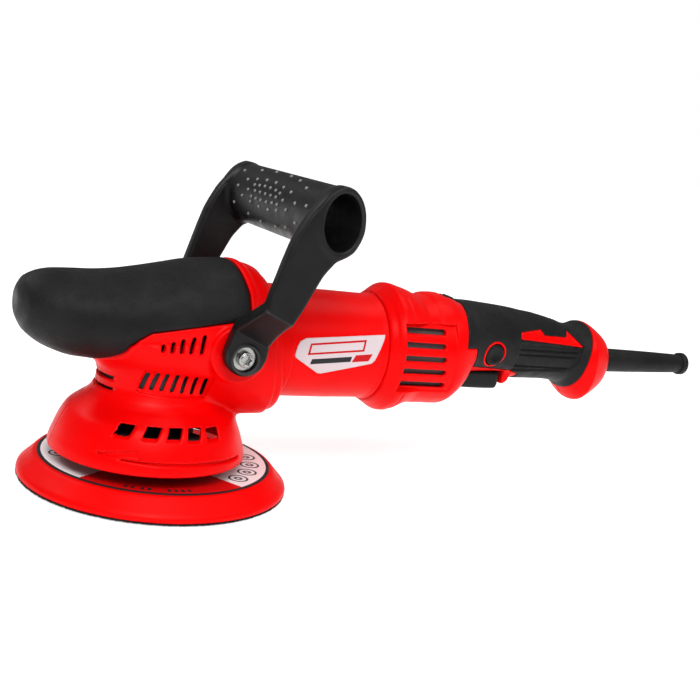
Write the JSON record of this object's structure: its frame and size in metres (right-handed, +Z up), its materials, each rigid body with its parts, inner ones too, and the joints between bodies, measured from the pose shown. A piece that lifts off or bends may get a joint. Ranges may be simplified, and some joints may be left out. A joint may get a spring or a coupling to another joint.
{
  "type": "dual action polisher",
  "caption": "Corded random orbit polisher: round hook plate on an eccentric spindle, angle gear head with a D-handle, in-line motor and a paddle trigger handle.",
  "frame": {"origin": "where the drive axis meets the hook face of the plate", "axes": "+X back along the motor axis to the cord end, +Z up from the hook face, the D-handle's bolts along Y"},
  "size_m": [0.4555, 0.154, 0.1792],
  "materials": {
    "red_shell": "semi-gloss moulded nylon, fine texture",
    "soft_grip": "matte soft-touch elastomer",
    "black_nylon": "satin glass-filled nylon",
    "red_foam": "moulded polyurethane, satin skin",
    "hook_loop": "short dense hooks",
    "pale_label": "printed film",
    "bright_steel": "zinc plated",
    "bearing_steel": "ground",
    "laminated_steel": "lacquered laminations",
    "cast_weight": "machined cast iron",
    "cast_aluminium": "die cast",
    "copper_wire": "lacquered copper",
    "brass_insert": "turned",
    "carbon": "pressed graphite",
    "seal_rubber": "moulded"
  },
  "bodies": {
    "housing": {"gear_case": "cast_aluminium", "bearing_retainer": "cast_aluminium", "retainer_screws": "bright_steel", "gear_case_screws": "bright_steel", "drive_bearing_lower": "bearing_steel", "drive_bearing_upper": "bearing_steel", "motor_housing": "red_shell", "motor_label": "pale_label", "front_motor_bearing": "bearing_steel", "rear_motor_bearing": "bearing_steel", "stator_core": "laminated_steel", "field_coils": "copper_wire", "air_baffle": "black_nylon", "bearing_bridge": "black_nylon", "brush_holders": "black_nylon", "carbon_brushes": "carbon", "brush_springs": "bearing_steel", "head_grip": "soft_grip", "head_cover_left": "red_shell", "head_cover_right": "red_shell", "handle_inserts": "brass_insert", "handle_shell_left": "red_shell", "handle_shell_right": "red_shell", "handle_grip_left": "soft_grip", "handle_grip_right": "soft_grip", "trigger_pin": "bright_steel", "housing_screws": "bright_steel", "switch_body": "black_nylon", "control_module": "black_nylon", "trigger_spring": "bearing_steel", "lock_spring": "bearing_steel", "cord_clamp": "black_nylon", "strain_relief": "soft_grip", "handle_bolts": "bright_steel", "handle_washers": "bright_steel"},
    "drive": {"counterweight": "cast_weight", "spindle_bearing_lower": "bearing_steel", "spindle_bearing_upper": "bearing_steel", "spindle_seal": "seal_rubber", "drive_shaft": "bearing_steel", "gear_ring": "bearing_steel", "bevel_gear": "bearing_steel"},
    "armature": {"armature_shaft": "bearing_steel", "pinion": "bearing_steel", "armature_core": "laminated_steel", "armature_windings": "copper_wire", "commutator": "copper_wire", "motor_fan": "black_nylon"},
    "plate": {"plate_spindle": "bearing_steel", "backing_plate": "red_foam", "plate_core": "black_nylon", "hook_face": "hook_loop", "plate_label": "pale_label", "plate_bolt": "bright_steel", "plate_washer": "bright_steel"},
    "d_handle": {"d_handle": "black_nylon"},
    "trigger": {"trigger": "black_nylon"},
    "lock_button": {"lock_button": "black_nylon"},
    "speed_dial": {"speed_dial": "black_nylon"}
  },
  "joints": [
    {"name": "drive_spin", "type": "hinge", "parent": "housing", "child": "drive", "pos_m": [0, 0, 0.055], "axis": [0, 0, 1], "continuous": true},
    {"name": "armature_spin", "type": "hinge", "parent": "housing", "child": "armature", "pos_m": [0.1, 0, 0.0844], "axis": [1, 0, 0], "continuous": true},
    {"name": "plate_spin", "type": "hinge", "parent": "drive", "child": "plate", "pos_m": [0.0078, 0.00703, 0.03], "axis": [0, 0, 1], "continuous": true},
    {"name": "handle_tilt", "type": "hinge", "parent": "housing", "child": "d_handle", "pos_m": [0.0317, 0, 0.0841], "axis": [0, 1, 0], "range_deg": [-45, 20]},
    {"name": "trigger_press", "type": "hinge", "parent": "housing", "child": "trigger", "pos_m": [0.19, 0, 0.072], "axis": [0, -1, 0], "range_deg": [0, 8], "stiffness_Nm_per_rad": 0.3, "springref_deg": -11.46, "deforming": ["trigger_spring"]},
    {"name": "lock_press", "type": "slide", "parent": "housing", "child": "lock_button", "axis": [0, 1, 0], "range_m": [0, 0.0025], "stiffness_N_per_m": 150, "springref_m": -0.006, "deforming": ["lock_spring"]},
    {"name": "dial_turn", "type": "hinge", "parent": "housing", "child": "speed_dial", "pos_m": [0.1755, 0, 0.1089], "axis": [0, 1, 0], "range_deg": [-135, 135]}
  ],
  "couplings": [
    {"joint": "armature_spin", "follows": "drive_spin", "ratio": 4.1111}
  ]
}
